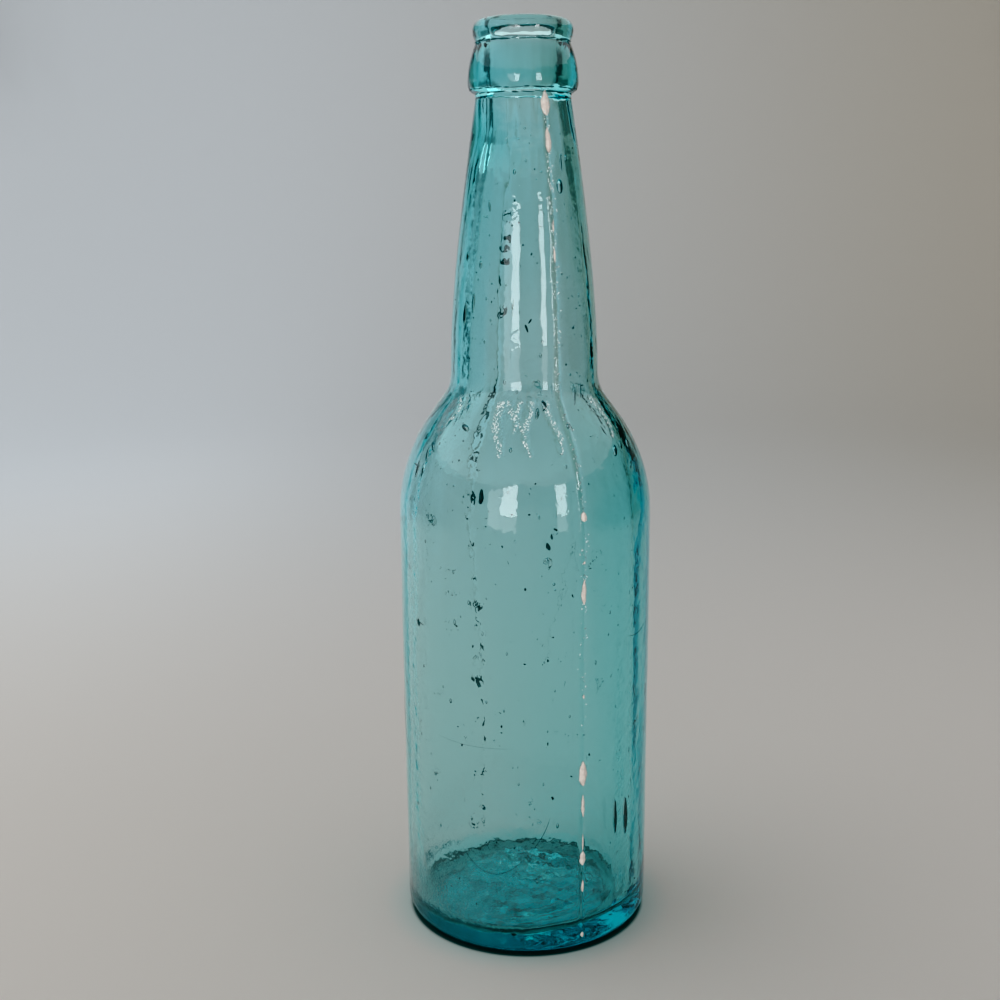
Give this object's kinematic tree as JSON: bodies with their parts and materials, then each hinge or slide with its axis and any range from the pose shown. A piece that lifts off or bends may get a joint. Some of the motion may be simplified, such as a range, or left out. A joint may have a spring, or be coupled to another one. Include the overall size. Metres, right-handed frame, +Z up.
{
  "type": "beer bottle",
  "caption": "Empty long-neck beer bottle of seedy aqua glass with a straight body, round shoulder, bulged collar and crown-cap lip; hollow, open at the mouth.",
  "frame": {"origin": "centre of the base, on the surface that the bottle stands on", "axes": "+Z up along the bottle's axis, towards the mouth; the two mould seams run up the sides at -Y and +Y"},
  "size_m": [0.0706, 0.071, 0.251],
  "materials": {
    "aqua_glass": "clear aqua glass, glossy, slightly wavy, with seeds, blisters and light scratches"
  },
  "bodies": {
    "root": {"bottle": "aqua_glass"}
  },
  "joints": []
}
